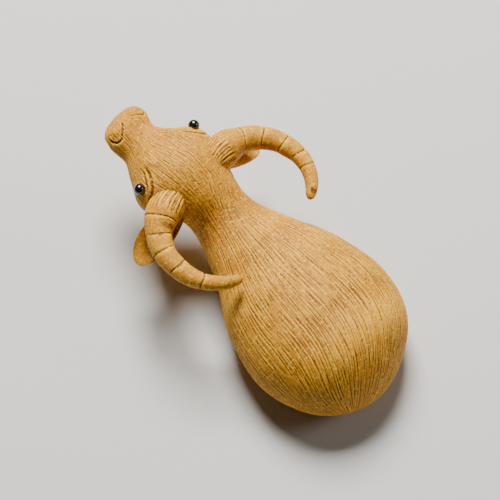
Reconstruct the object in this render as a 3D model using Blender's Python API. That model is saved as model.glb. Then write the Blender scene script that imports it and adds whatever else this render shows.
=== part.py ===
"""Tea pet: a resting water buffalo with a gourd-shaped body, in fired clay, with two bead eyes.

The animal looks along -Y, its left side is +X, and its flat underside lies on Z = 0.
"""

import math
from typing import NamedTuple

import bmesh
import bpy
import numpy as np
from mathutils import Matrix, Vector
from mathutils.bvhtree import BVHTree

MM = 0.001

# Body and neck, measured from the middle of the belly, with the widest line at the keel height
BELLY_WIDTH = 43.6 * MM
BELLY_HEIGHT = 25.5 * MM
KEEL_HEIGHT = 9.5 * MM
NECK_WIDTH = 16.2 * MM
NECK_DEPTH = 16.2 * MM
NECK_HEIGHT = 17.0 * MM
NECK_REACH = 41.0 * MM
NECK_PITCH = math.radians(24.0)
RUMP_LENGTH = 21.3 * MM

# Head, measured from the middle of the line between the eyes
EYE_LEVEL = 28.0 * MM
EYE_REACH = 55.5 * MM
EYE_SIDE = 0.5 * MM
HEAD_TURN = math.radians(10.0)
HEAD_WIDTH = 23.2 * MM
HEAD_DEPTH = 16.8 * MM
MUZZLE_WIDTH = 11.8 * MM
MUZZLE_REACH = 17.4 * MM
MUZZLE_SIDE = -1.2 * MM
NOSE_TILT = math.radians(36.0)
GROOVE_RADIUS = 0.45 * MM

# Bead eyes
EYE_DIAMETER = 2.9 * MM
EYE_SPREAD = 22.8 * MM
EYE_LEAD = 0.5 * MM
EYE_SEAT = 0.5 * MM
FIT_GAP = 0.3 * MM

# Horns, which follow an arc from inside the head to the tip
HORN_BEND = 12.35 * MM
HORN_ROOT_BACK = 20.5 * MM
HORN_DROP = 3.6 * MM
HORN_FLARE = 0.35
HORN_START = math.radians(-112.0)
LEFT_HORN_SIDE = 10.2 * MM
LEFT_HORN_END = math.radians(69.0)
LEFT_ROOT_FLARE = 0.22
RIGHT_HORN_SIDE = 8.7 * MM
RIGHT_HORN_END = math.radians(76.0)
RIGHT_ROOT_FLARE = -0.1
HORN_ROOT_THICKNESS = 9.0 * MM
HORN_THICKNESS = 6.5 * MM
HORN_TIP_THICKNESS = 2.6 * MM
RING_DEPTH = 0.3 * MM
RING_WIDTH = 0.9 * MM
LEFT_RINGS = (0.233, 0.336, 0.455, 0.587, 0.77)
RIGHT_RINGS = (0.314, 0.442, 0.583, 0.698, 0.797)
PLAIN_SHARES = (0.0, 0.06, 0.12, 0.18, 0.285, 0.39, 0.51, 0.64, 0.74, 0.86, 0.92, 0.97, 0.99, 1.0)

# Hair tuft combed over the root of each horn
TUFT_STROKES = 8
TUFT_RADIUS = 0.42 * MM
TUFT_SHARES = (0.07, 0.13, 0.2)
TUFT_FRONT = math.radians(-50.0)
TUFT_BACK = math.radians(85.0)
PATH_STEP = 0.01

# Ears: the left one is spread forward, and the right one hangs under its horn
EAR_ROOT_SIDE = 7.0 * MM
EAR_ROOT_BACK = 9.2 * MM
EAR_ROOT_DROP = 6.0 * MM
EAR_WIDTH = 7.5 * MM
EAR_THICKNESS = 2.4 * MM
EAR_CURL = 1.6 * MM
LEFT_EAR_LENGTH = 17.6 * MM
LEFT_EAR_SWEEP = 1.2 * MM
LEFT_EAR_DROOP = 4.6 * MM
RIGHT_EAR_LENGTH = 14.6 * MM
RIGHT_EAR_SWEEP = -1.6 * MM
RIGHT_EAR_DROOP = 7.6 * MM

# Faces round and along each shape
BODY_COLUMNS = 42
BODY_ROWS = 56
HORN_SIDES = 12
EAR_SIDES = 14
EAR_ROWS = 12
GROOVE_SIDES = 6
BEAD_COLUMNS = 16
BEAD_ROWS = 10


class Section(NamedTuple):
    """One cross-section of the body: where it is, how it is turned and how far it reaches."""

    center: Vector
    turn: float
    pitch: float
    half_width: float
    rise: float
    drop: float


def head_point(aside, back, up):
    """A point given from between the eyes, towards the animal's left, its tail and upwards."""
    left = Vector((math.cos(HEAD_TURN), math.sin(HEAD_TURN), 0.0))
    behind = Vector((-math.sin(HEAD_TURN), math.cos(HEAD_TURN), 0.0))
    middle = Vector((EYE_SIDE, -EYE_REACH, EYE_LEVEL))
    return middle + left * aside + behind * back + Vector((0.0, 0.0, up))


def head_section(ahead, up, half_width, rise, drop, pitch=0.0, aside=0.0):
    """A section of the head, with its heights as shares of the head's depth."""
    center = head_point(aside, -ahead, up * HEAD_DEPTH)
    return Section(center, HEAD_TURN, pitch, half_width, rise * HEAD_DEPTH, drop * HEAD_DEPTH)


def body_section(reach, height, aside, half_width, rise, drop, pitch=0.0):
    """A section of the neck or the belly, at its distance ahead of the belly's middle."""
    return Section(Vector((aside, -reach, height)), 0.0, pitch, half_width, rise, drop)


def head_sections():
    """The cross-sections from the nose to the back of the head."""
    reach = MUZZLE_REACH
    side = MUZZLE_SIDE
    muzzle = MUZZLE_WIDTH / 2
    head = HEAD_WIDTH / 2
    nose = head_section(1.02 * reach, -0.05, 0.0, 0.0, 0.0, NOSE_TILT, side)
    pad = head_section(0.96 * reach, -0.07, 0.87 * muzzle, 0.19, 0.21, NOSE_TILT, side)
    lips = head_section(0.85 * reach, -0.13, 1.10 * muzzle, 0.255, 0.285, 0.6 * NOSE_TILT, side)
    dish = head_section(0.52 * reach, -0.24, 1.12 * muzzle, 0.305, 0.30, 0.1 * NOSE_TILT, 0.1 * side)
    cheeks = head_section(0.24 * reach, -0.285, 0.80 * head, 0.405, 0.38, 0.0, -0.4 * side)
    brows = head_section(0.0, -0.29, 0.97 * head, 0.48, 0.465, 0.0, -0.35 * side)
    forehead = head_section(-0.28 * reach, -0.31, 0.97 * head, 0.52, 0.475, 0.25 * NECK_PITCH, -0.25 * side)
    poll = head_section(-0.58 * reach, -0.43, 0.82 * head, 0.475, 0.465, 0.76 * NECK_PITCH)
    return [nose, pad, lips, dish, cheeks, brows, forehead, poll]


def body_sections():
    """The cross-sections from the neck to the rump."""
    keel = KEEL_HEIGHT
    belly = BELLY_WIDTH / 2
    crown = BELLY_HEIGHT - keel
    half_neck = NECK_DEPTH / 2
    shoulder_height = 0.51 * keel + 0.49 * NECK_HEIGHT
    flank_height = 0.81 * keel + 0.19 * NECK_HEIGHT
    neck = body_section(
        NECK_REACH, NECK_HEIGHT, -0.073 * belly, NECK_WIDTH / 2, half_neck, half_neck, NECK_PITCH
    )
    shoulder_reach = 0.68 * NECK_REACH
    shoulder_pitch = 0.6 * NECK_PITCH
    shoulder_side = -0.078 * belly
    shoulder = body_section(
        shoulder_reach, shoulder_height, shoulder_side, 0.57 * belly, 0.68 * crown, 1.3 * keel, shoulder_pitch
    )
    flank_pitch = 0.24 * NECK_PITCH
    flank = body_section(
        0.36 * NECK_REACH, flank_height, -0.03 * belly, 0.885 * belly, 0.90 * crown, 1.3 * keel, flank_pitch
    )
    middle = body_section(-0.02 * RUMP_LENGTH, keel, 0.01 * belly, belly, crown, 1.05 * keel)
    haunch = body_section(-0.55 * RUMP_LENGTH, keel, 0.046 * belly, 0.82 * belly, 0.87 * crown, 0.95 * keel)
    rump = body_section(-RUMP_LENGTH, 0.9 * keel, 0.13 * belly, 0.0, 0.0, 0.0)
    return [neck, shoulder, flank, middle, haunch, rump]


def smooth(knots, values):
    """A smooth function that takes the given values at the knots."""
    knots = np.asarray(knots, dtype=float)
    values = np.asarray(values, dtype=float)
    slopes = np.gradient(values, knots)

    def at(place):
        place = min(max(place, knots[0]), knots[-1])
        index = min(int(np.searchsorted(knots, place, side="right")) - 1, len(knots) - 2)
        span = knots[index + 1] - knots[index]
        share = (place - knots[index]) / span
        rest = 1.0 - share
        near = values[index] * (1 + 2 * share) + slopes[index] * share * span
        far = values[index + 1] * (3 - 2 * share) - slopes[index + 1] * rest * span
        return near * rest * rest + far * share * share

    return at


class Form:
    """The smooth surface that passes through all the cross-sections."""

    def __init__(self, stations):
        steps = [(b.center - a.center).length for a, b in zip(stations, stations[1:])]
        knots = np.concatenate([[0.0], np.cumsum(steps)])
        self.length = float(knots[-1])
        self.center = [smooth(knots, [s.center[axis] for s in stations]) for axis in range(3)]
        self.turn = smooth(knots, [s.turn for s in stations])
        self.pitch = smooth(knots, [s.pitch for s in stations])
        # Squares of the half sizes keep the two ends round.
        self.half_width = smooth(knots, [s.half_width**2 for s in stations])
        self.rise = smooth(knots, [s.rise**2 for s in stations])
        self.drop = smooth(knots, [s.drop**2 for s in stations])

    def point(self, along, angle):
        """The surface point at a length along the spine and an angle round it."""
        turn = self.turn(along)
        pitch = self.pitch(along)
        level = Vector((math.sin(turn), -math.cos(turn), 0.0))
        ahead = level * math.cos(pitch) + Vector((0.0, 0.0, math.sin(pitch)))
        left = Vector((math.cos(turn), math.sin(turn), 0.0))
        up = ahead.cross(left)
        aside = math.sqrt(max(self.half_width(along), 0.0)) * math.cos(angle)
        height = self.rise if math.sin(angle) > 0 else self.drop
        above = math.sqrt(max(height(along), 0.0)) * math.sin(angle)
        return Vector([axis(along) for axis in self.center]) + left * aside + up * above


def clear_scene():
    """Empties the file."""
    for thing in list(bpy.data.objects):
        bpy.data.objects.remove(thing, do_unlink=True)


def material(name, color, roughness):
    """A plain surface of one colour."""
    made = bpy.data.materials.new(name)
    made.use_nodes = True
    shader = made.node_tree.nodes["Principled BSDF"]
    shader.inputs["Base Color"].default_value = (*color, 1.0)
    shader.inputs["Roughness"].default_value = roughness
    return made


def add_object(name, shape, finish):
    """Turns a bmesh into an object with one material, with flat triangles that join cleanly."""
    mesh = bpy.data.meshes.new(name)
    bmesh.ops.triangulate(shape, faces=shape.faces)
    bmesh.ops.recalc_face_normals(shape, faces=shape.faces)
    shape.to_mesh(mesh)
    shape.free()
    made = bpy.data.objects.new(name, mesh)
    made.data.materials.append(finish)
    bpy.context.collection.objects.link(made)
    return made


def swell(shape, center, radius, height):
    """Raises a soft mound on the skin round a point."""
    for vertex in shape.verts:
        away = (vertex.co - center).length / radius
        vertex.co += vertex.normal * (height * math.exp(-away * away))


def body_shape(form):
    """The muzzle, head, neck and belly as one closed skin with a flat underside."""
    shape = bmesh.new()
    bmesh.ops.create_uvsphere(shape, u_segments=BODY_COLUMNS, v_segments=BODY_ROWS, radius=1.0)
    for vertex in shape.verts:
        angle = math.atan2(vertex.co.y, vertex.co.x)
        along = form.length * (1.0 - vertex.co.z) / 2
        vertex.co = form.point(along, angle)
    bmesh.ops.recalc_face_normals(shape, faces=shape.faces)
    shape.normal_update()
    for side in (1, -1):
        eye_mound = head_point(side * 0.42 * EYE_SPREAD, 0.0, -0.035 * HEAD_DEPTH)
        brow = head_point(side * 0.245 * EYE_SPREAD, -0.18 * MUZZLE_REACH, 0.095 * HEAD_DEPTH)
        cheek = head_point(side * 0.48 * EYE_SPREAD, 0.12 * MUZZLE_REACH, -0.36 * HEAD_DEPTH)
        swell(shape, eye_mound, 0.155 * HEAD_WIDTH, 0.042 * HEAD_WIDTH)
        swell(shape, brow, 0.11 * HEAD_WIDTH, 0.04 * HEAD_WIDTH)
        swell(shape, cheek, 0.195 * HEAD_WIDTH, 0.07 * HEAD_WIDTH)
    cut = bmesh.ops.bisect_plane(
        shape,
        geom=shape.verts[:] + shape.edges[:] + shape.faces[:],
        plane_co=(0, 0, 0),
        plane_no=(0, 0, -1),
        clear_outer=True,
    )
    rim = [item for item in cut["geom_cut"] if isinstance(item, bmesh.types.BMEdge)]
    bmesh.ops.edgeloop_fill(shape, edges=rim)
    return shape


def ring_axes(ahead):
    """Two directions square to a path and to each other, the first of them level."""
    across = ahead.cross(Vector((0.0, 0.0, 1.0))).normalized()
    return across, across.cross(ahead)


def tube(points, radii, sides):
    """A closed tube along the points, with a radius at each of them."""
    shape = bmesh.new()
    loops = []
    for index, (point, radius) in enumerate(zip(points, radii)):
        before = points[max(index - 1, 0)]
        after = points[min(index + 1, len(points) - 1)]
        across, over = ring_axes((after - before).normalized())
        turns = [2 * math.pi * step / sides for step in range(sides)]
        spots = [point + (across * math.cos(turn) + over * math.sin(turn)) * radius for turn in turns]
        verts = [shape.verts.new(spot) for spot in spots]
        loops.append([shape.edges.new((verts[i - 1], verts[i])) for i in range(sides)])
    for first, second in zip(loops, loops[1:]):
        bmesh.ops.bridge_loops(shape, edges=first + second)
    bmesh.ops.edgeloop_fill(shape, edges=loops[0])
    bmesh.ops.edgeloop_fill(shape, edges=loops[-1])
    return shape


def horn_path(side, share):
    """The middle of a horn at a share of its length, from its root in the head to its tip."""
    end = LEFT_HORN_END if side > 0 else RIGHT_HORN_END
    root_flare = LEFT_ROOT_FLARE if side > 0 else RIGHT_ROOT_FLARE
    angle = HORN_START + (end - HORN_START) * share
    bend = HORN_BEND * (1.0 + HORN_FLARE * max(0.0, share - 0.6) + root_flare * max(0.0, 0.55 - share))
    aside = (LEFT_HORN_SIDE if side > 0 else RIGHT_HORN_SIDE) + bend * math.cos(angle)
    back = HORN_ROOT_BACK + bend * math.sin(angle)
    up = -HORN_DROP * (1.0 - 0.3 * (1.0 - share) ** 3)
    return head_point(side * aside, back, up)


def horn_radius():
    """The half thickness of a horn as a function of the share of its length."""
    root = HORN_ROOT_THICKNESS / 2
    half = HORN_THICKNESS / 2
    tip = HORN_TIP_THICKNESS / 2
    shares = (0.0, 0.07, 0.14, 0.21, 0.30, 0.45, 0.60, 0.85, 0.97, 1.0)
    thick = [0.55 * root, 0.87 * root, root, 0.97 * root]
    thin = [1.06 * half, 0.91 * half, 0.8 * half, 0.56 * half, tip, 0.5 * tip]
    return smooth(shares, thick + thin)


def horn_shape(side):
    """A tapered, blunt horn with rings cut into it."""
    radius = horn_radius()
    rings = LEFT_RINGS if side > 0 else RIGHT_RINGS
    edge = RING_WIDTH / 2 / (HORN_BEND * (LEFT_HORN_END - HORN_START))
    depths = {share: 0.0 for share in PLAIN_SHARES if min(abs(share - ring) for ring in rings) > 1.5 * edge}
    for ring in rings:
        depths.update({ring - edge: 0.0, ring: RING_DEPTH, ring + edge: 0.0})
    shares = sorted(depths)
    points = [horn_path(side, share) for share in shares]
    return tube(points, [radius(share) - depths[share] for share in shares], HORN_SIDES)


def tuft_cuts(side):
    """Thin rods that comb the hair tuft over the root of a horn."""
    radius = horn_radius()
    shapes = []
    for number in range(TUFT_STROKES):
        lean = TUFT_FRONT + (TUFT_BACK - TUFT_FRONT) * number / (TUFT_STROKES - 1)
        points = []
        for share in TUFT_SHARES:
            middle = horn_path(side, share)
            across, over = ring_axes((horn_path(side, share + PATH_STEP) - middle).normalized())
            outward = over * math.cos(lean) - across * (side * math.sin(lean))
            points.append(middle + outward * radius(share))
        shapes.append(tube(points, [0.6 * TUFT_RADIUS, TUFT_RADIUS, 0.4 * TUFT_RADIUS], GROOVE_SIDES))
    return shapes


def ear_shape(side):
    """A drooping leaf-shaped ear, cupped along its length, that starts inside the head."""
    reach = LEFT_EAR_LENGTH if side > 0 else RIGHT_EAR_LENGTH
    sweep = LEFT_EAR_SWEEP if side > 0 else RIGHT_EAR_SWEEP
    droop = LEFT_EAR_DROOP if side > 0 else RIGHT_EAR_DROOP
    shape = bmesh.new()
    bmesh.ops.create_uvsphere(shape, u_segments=EAR_SIDES, v_segments=EAR_ROWS, radius=1.0)
    for vertex in shape.verts:
        across, over, length = vertex.co
        share = (length + 1) / 2
        leaf = EAR_WIDTH / 2 * (1.0 + 0.15 * length)
        aside = EAR_ROOT_SIDE + reach * share
        back = EAR_ROOT_BACK - sweep * share + across * leaf
        curl = EAR_CURL * across * across * (1.0 - 0.3 * over)
        lift = over * EAR_THICKNESS * (0.3 if over > 0 else 0.5)
        up = curl + lift - EAR_ROOT_DROP - droop * share - 0.2 * EAR_WIDTH * across
        vertex.co = head_point(side * aside, back, up)
    return shape


def on_skin(skin, point, core):
    """The place where a line from far outside, through a point, first meets the skin round the core."""
    away = (point - core).normalized()
    return skin.ray_cast(core + away * HEAD_WIDTH * 2, -away)[0]


def eye_center(side, skin):
    """Where a bead sits, with its middle just proud of the skin beside the brow."""
    outside = head_point(side * EYE_SPREAD, -EYE_LEAD, 0.0)
    core = head_point(0.0, -EYE_LEAD, -0.06 * HEAD_DEPTH)
    return on_skin(skin, outside, core) + (outside - core).normalized() * EYE_SEAT


def nostril_cut(side, skin):
    """A thin bent rod that carves the groove round a nostril's wing."""
    core = head_point(MUZZLE_SIDE, -0.75 * MUZZLE_REACH, -0.2 * HEAD_DEPTH)
    course = [(0.2, 0.90, 0.18), (0.39, 0.80, 0.18), (0.54, 0.72, 0.14)]
    course += [(0.78, 0.69, 0.06), (0.95, 0.72, -0.06), (1.02, 0.82, -0.1)]
    points = []
    for aside, ahead, up in course:
        shift = MUZZLE_SIDE + side * aside * MUZZLE_WIDTH / 2
        points.append(on_skin(skin, head_point(shift, -ahead * MUZZLE_REACH, up * HEAD_DEPTH), core))
    widths = [0.55, 0.9, 1.0, 1.0, 0.9, 0.55]
    return tube(points, [width * GROOVE_RADIUS for width in widths], GROOVE_SIDES)


def crease_cut(side, skin):
    """A thin bent rod that carves the crease behind an eye."""
    core = head_point(side * 0.26 * HEAD_WIDTH, 0.0, -0.18 * HEAD_DEPTH)
    course = [(0.58, -0.16, 0.14), (0.70, 0.01, 0.11), (0.84, 0.13, 0.05), (1.02, 0.17, -0.05)]
    points = []
    for aside, back, up in course:
        spot = head_point(side * aside * EYE_SPREAD / 2, back * MUZZLE_REACH, up * HEAD_DEPTH)
        points.append(on_skin(skin, spot, core))
    widths = [0.55, 1.0, 1.1, 0.65]
    return tube(points, [width * GROOVE_RADIUS for width in widths], GROOVE_SIDES)


def ball(center, radius):
    """A round bead."""
    shape = bmesh.new()
    place = Matrix.Translation(center)
    bmesh.ops.create_uvsphere(
        shape, u_segments=BEAD_COLUMNS, v_segments=BEAD_ROWS, radius=radius, matrix=place
    )
    return shape


def boolean(target, shape, operation):
    """Joins a shape to the target or cuts it out of it."""
    tool = add_object("tool", shape, target.data.materials[0])
    change = target.modifiers.new(operation.title(), "BOOLEAN")
    change.operation = operation
    change.solver = "EXACT"
    change.object = tool
    bpy.context.view_layer.update()
    graph = bpy.context.evaluated_depsgraph_get()
    result = bpy.data.meshes.new_from_object(target.evaluated_get(graph))
    target.modifiers.clear()
    target.data = result
    bpy.data.objects.remove(tool, do_unlink=True)


def center_on_origin(pieces):
    """Moves all the pieces together so that the origin is the middle of their underside."""
    corners = [vertex.co for piece in pieces for vertex in piece.data.vertices]
    low = Vector([min(corner[axis] for corner in corners) for axis in range(3)])
    high = Vector([max(corner[axis] for corner in corners) for axis in range(3)])
    middle = (low + high) / 2
    shift = Matrix.Translation((-middle.x, -middle.y, -low.z))
    for piece in pieces:
        piece.data.transform(shift)


def main():
    """Builds the clay body and its two eyes."""
    clear_scene()
    clay = material("ochre_clay", (0.56, 0.34, 0.14), 0.7)
    bead = material("black_bead", (0.01, 0.01, 0.012), 0.08)
    body = add_object("clay_body", body_shape(Form(head_sections() + body_sections())), clay)
    corners = [vertex.co.copy() for vertex in body.data.vertices]
    skin = BVHTree.FromPolygons(corners, [face.vertices[:] for face in body.data.polygons])
    for side in (1, -1):
        boolean(body, horn_shape(side), "UNION")
        boolean(body, ear_shape(side), "UNION")
    pieces = [body]
    for side, name in ((1, "eye_left"), (-1, "eye_right")):
        for shape in [*tuft_cuts(side), nostril_cut(side, skin), crease_cut(side, skin)]:
            boolean(body, shape, "DIFFERENCE")
        center = eye_center(side, skin)
        boolean(body, ball(center, EYE_DIAMETER / 2 + FIT_GAP), "DIFFERENCE")
        eye = add_object(name, ball(center, EYE_DIAMETER / 2), bead)
        eye.data.shade_smooth()
        pieces.append(eye)
    body.data.shade_smooth()
    body.data.set_sharp_from_angle(angle=math.radians(40.0))
    center_on_origin(pieces)


main()
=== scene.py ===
"""Looks of the tea pet: a combed clay water buffalo with two glossy bead eyes, on a plain pale floor."""

from __future__ import annotations

import logging
import math
from dataclasses import dataclass, field
from enum import Enum

import bmesh
import bpy
import numpy as np
from mathutils import Matrix, Vector
from mathutils.bvhtree import BVHTree
from mathutils.kdtree import KDTree

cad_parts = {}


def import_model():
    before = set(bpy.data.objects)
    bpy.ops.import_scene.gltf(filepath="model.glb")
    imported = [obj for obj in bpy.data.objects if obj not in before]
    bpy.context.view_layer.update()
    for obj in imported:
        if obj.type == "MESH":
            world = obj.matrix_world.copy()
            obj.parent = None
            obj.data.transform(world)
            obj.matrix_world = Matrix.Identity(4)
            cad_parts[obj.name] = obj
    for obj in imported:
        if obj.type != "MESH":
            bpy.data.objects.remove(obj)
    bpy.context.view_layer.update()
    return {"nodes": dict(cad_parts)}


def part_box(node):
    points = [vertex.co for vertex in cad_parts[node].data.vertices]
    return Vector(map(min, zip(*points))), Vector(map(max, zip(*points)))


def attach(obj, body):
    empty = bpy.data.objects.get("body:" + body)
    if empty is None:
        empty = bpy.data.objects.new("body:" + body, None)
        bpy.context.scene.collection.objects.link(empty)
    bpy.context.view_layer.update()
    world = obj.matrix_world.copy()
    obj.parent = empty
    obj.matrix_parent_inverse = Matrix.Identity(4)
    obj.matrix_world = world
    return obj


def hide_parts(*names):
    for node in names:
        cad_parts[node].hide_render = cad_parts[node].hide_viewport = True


LOG = logging.getLogger("tea_pet")

MM = 0.001

# Middle of the belly, measured from the middle of the part's underside
BELLY_SIDE = 1.6405 * MM
BELLY_BACK = 26.5289 * MM

# Body and neck, measured from the middle of the belly
BELLY_WIDTH = 43.6 * MM
BELLY_HEIGHT = 25.5 * MM
KEEL_HEIGHT = 9.5 * MM
NECK_WIDTH = 16.2 * MM
NECK_DEPTH = 16.2 * MM
NECK_HEIGHT = 17.0 * MM
NECK_REACH = 41.0 * MM
NECK_PITCH = math.radians(24.0)
RUMP_LENGTH = 21.3 * MM

# Head, measured from the middle of the line between the eyes
EYE_LEVEL = 28.0 * MM
EYE_REACH = 55.5 * MM
EYE_SIDE = 0.5 * MM
HEAD_TURN = math.radians(10.0)
HEAD_WIDTH = 23.2 * MM
HEAD_DEPTH = 16.8 * MM
MUZZLE_WIDTH = 11.8 * MM
MUZZLE_REACH = 17.4 * MM
MUZZLE_SIDE = -1.2 * MM
NOSE_TILT = math.radians(36.0)

# Horns, which follow an arc from inside the head to the tip
HORN_BEND = 12.35 * MM
HORN_ROOT_BACK = 20.5 * MM
HORN_DROP = 3.6 * MM
HORN_FLARE = 0.35
HORN_START = math.radians(-112.0)
HORN_ROOT_THICKNESS = 9.0 * MM
HORN_THICKNESS = 6.5 * MM
HORN_TIP_THICKNESS = 2.6 * MM
RING_DEPTH = 0.30 * MM
RING_WIDTH = 0.19 * MM

# Hair tuft combed over the root of each horn, from its first stroke round the horn, in degrees
TUFT_DEPTH = 0.33 * MM
TUFT_WIDTH = 0.20 * MM
TUFT_STROKES = 13
TUFT_FRONT = -62.0
TUFT_SWEEP = 152.0
TUFT_END = 0.28

# Small flat on the blunt tip of the right horn: its distance from the middle, its slope and its reach
TIP_FLAT = 0.85 * MM
TIP_SLOPE = (-0.30, 0.52, 0.80)
TIP_REACH = 2.4 * MM

# Ears, which start inside the head under the horns
EAR_ROOT_SIDE = 7.0 * MM
EAR_ROOT_BACK = 9.2 * MM
EAR_ROOT_DROP = 6.0 * MM
EAR_WIDTH = 7.5 * MM
EAR_THICKNESS = 2.4 * MM
EAR_CURL = 1.6 * MM

# Combed strokes, with their lengths in millimetres and the shares between which chance picks
STROKE_PITCH = 0.74 * MM
STROKE_WIDTH = 0.155 * MM
BELLY_STROKE_DEPTH = 0.18 * MM
HEAD_STROKE_DEPTH = 0.15 * MM
STROKE_TRIES = 60000
HEAD_STROKE_LENGTHS = (3.0, 10.0)
BELLY_STROKE_LENGTHS = (7.0, 30.0)
STROKE_PITCH_SHARES = (0.72, 1.12)
STROKE_WIDTH_SHARES = (0.8, 1.3)
STROKE_STRENGTHS = (0.45, 1.0)
MOST_TAKEN = 0.12
MOST_SPREAD = 24
LEAST_ROWS = 4
COMB_TWIST = 0.45

# Directions from the belly's middle to where the strokes would meet on the rump, and to where they do
RUMP_DIRECTION = (0.13, 1.0, -0.05)
WHORL_DIRECTION = (0.42, 0.87, -0.26)

# Faces round and along each shape
SKIN_COLUMNS = 436
SKIN_ROWS = 182
HORN_COLUMNS = 96
HORN_ROWS = 84
EAR_COLUMNS = 40
EAR_ROWS = 36
BEAD_COLUMNS = 64
BEAD_ROWS = 48

# Grain of the clay on the body: the radius it is wrapped round, and how far it is drawn out
COMB_RADIUS = 18.8 * MM
COMB_STRETCH = 5.0

# Lines drawn on the face, in millimetres aside, towards the tail and upwards from between the eyes
EYE_CREASE = ((6.4, -2.9, 2.1), (7.3, -1.7, 2.0), (8.0, -0.2, 1.9), (8.9, 1.0, 1.5))
EYE_CREASE += ((10.0, 2.2, 0.7), (11.2, 2.8, -0.6), (12.2, 2.9, -2.0), (12.8, 3.1, -3.3))
LID_CREASE = ((7.2, -3.0, 1.2), (8.4, -1.6, 1.3), (9.4, -0.3, 1.1), (10.4, 0.9, 0.5), (11.2, 1.7, -0.6))
NOSTRIL_WING = ((0.9, -15.1, 1.5), (1.5, -14.4, 1.6), (2.7, -13.4, 1.4), (3.7, -12.7, 1.0))
NOSTRIL_WING += ((4.6, -12.3, 0.5), (5.6, -12.7, -0.2), (6.0, -13.6, -0.6))
NOSTRIL_WING += ((6.1, -15.0, -0.8), (5.6, -16.2, -0.5))
HALF_MOUTH = ((5.6, -11.5, -5.2), (4.8, -13.6, -4.6), (2.8, -15.6, -4.2), (0.0, -16.6, -4.0))

# How far a line on the face acts round its middle, and the seat that holds a bead
FOLD_REACH = 16.0 * MM
SEAT_RADIUS = 1.5 * MM

# How the surface is finished: rounds of evening out, and the depths that count as a full hollow; the
# hollows measured here get painted shade and the ridges a painted highlight
SEAM_ROUNDS = 4
HOLLOW_DEPTHS = ((2, 0.035 * MM), (8, 0.10 * MM))
WIDE_ROUNDS = 60

# Picture and floor
PICTURE_PIXELS = 500.0
SENSOR_WIDTH = 36.0
FLOOR_SIZE = 3.0
FLOOR_GAP = 0.02 * MM


class Side(Enum):
    """The animal's own left or right."""

    LEFT = 1
    RIGHT = -1


def head_point(aside: float, back: float, up: float) -> np.ndarray:
    """Gives a point measured from between the eyes.

    Args:
        aside: Distance towards the animal's left, in metres.
        back: Distance towards its tail, in metres.
        up: Height above the eyes, in metres.

    Returns:
        The point in the part's frame.
    """
    middle = np.array([BELLY_SIDE + EYE_SIDE, BELLY_BACK - EYE_REACH, EYE_LEVEL])
    left = np.array([math.cos(HEAD_TURN), math.sin(HEAD_TURN), 0.0])
    behind = np.array([-math.sin(HEAD_TURN), math.cos(HEAD_TURN), 0.0])
    return middle + left * aside + behind * back + np.array([0.0, 0.0, up])


@dataclass(frozen=True)
class Section:
    """One cross-section of the body: where it is, how it is turned and how far it reaches."""

    center: np.ndarray
    turn: float
    pitch: float
    half_width: float
    rise: float
    drop: float


@dataclass(frozen=True)
class Course:
    """A smooth run of values through given knots."""

    knots: np.ndarray
    values: np.ndarray

    def __call__(self, places: np.ndarray) -> np.ndarray:
        """Gives the values at the places.

        Args:
            places: Where to read the run, in the knots' own units.

        Returns:
            One value for each place.
        """
        places = np.clip(places, self.knots[0], self.knots[-1])
        slopes = np.gradient(self.values, self.knots)
        index = np.clip(np.searchsorted(self.knots, places, side="right") - 1, 0, len(self.knots) - 2)
        span = self.knots[index + 1] - self.knots[index]
        share = (places - self.knots[index]) / span
        rest = 1.0 - share
        near = self.values[index] * (1 + 2 * share) + slopes[index] * share * span
        far = self.values[index + 1] * (3 - 2 * share) - slopes[index + 1] * rest * span
        return near * rest * rest + far * share * share


def head_section(
    ahead: float, up: float, half_width: float, rise: float, drop: float,
    pitch: float = 0.0, aside: float = 0.0,
) -> Section:
    """Makes a section of the head.

    Args:
        ahead: Distance in front of the eyes, in metres.
        up: Height above the eyes, as a share of the head's depth.
        half_width: Reach to either side, in metres.
        rise: Reach upwards, as a share of the head's depth.
        drop: Reach downwards, as a share of the head's depth.
        pitch: How far it leans back, in radians.
        aside: Distance towards the animal's left, in metres.

    Returns:
        The section.
    """
    center = head_point(aside, -ahead, up * HEAD_DEPTH)
    return Section(center, HEAD_TURN, pitch, half_width, rise * HEAD_DEPTH, drop * HEAD_DEPTH)


def body_section(
    reach: float, height: float, aside: float, half_width: float, rise: float, drop: float,
    pitch: float = 0.0,
) -> Section:
    """Makes a section of the neck or belly at its distance ahead of the belly's middle."""
    center = np.array([BELLY_SIDE + aside, BELLY_BACK - reach, height])
    return Section(center, 0.0, pitch, half_width, rise, drop)


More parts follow.
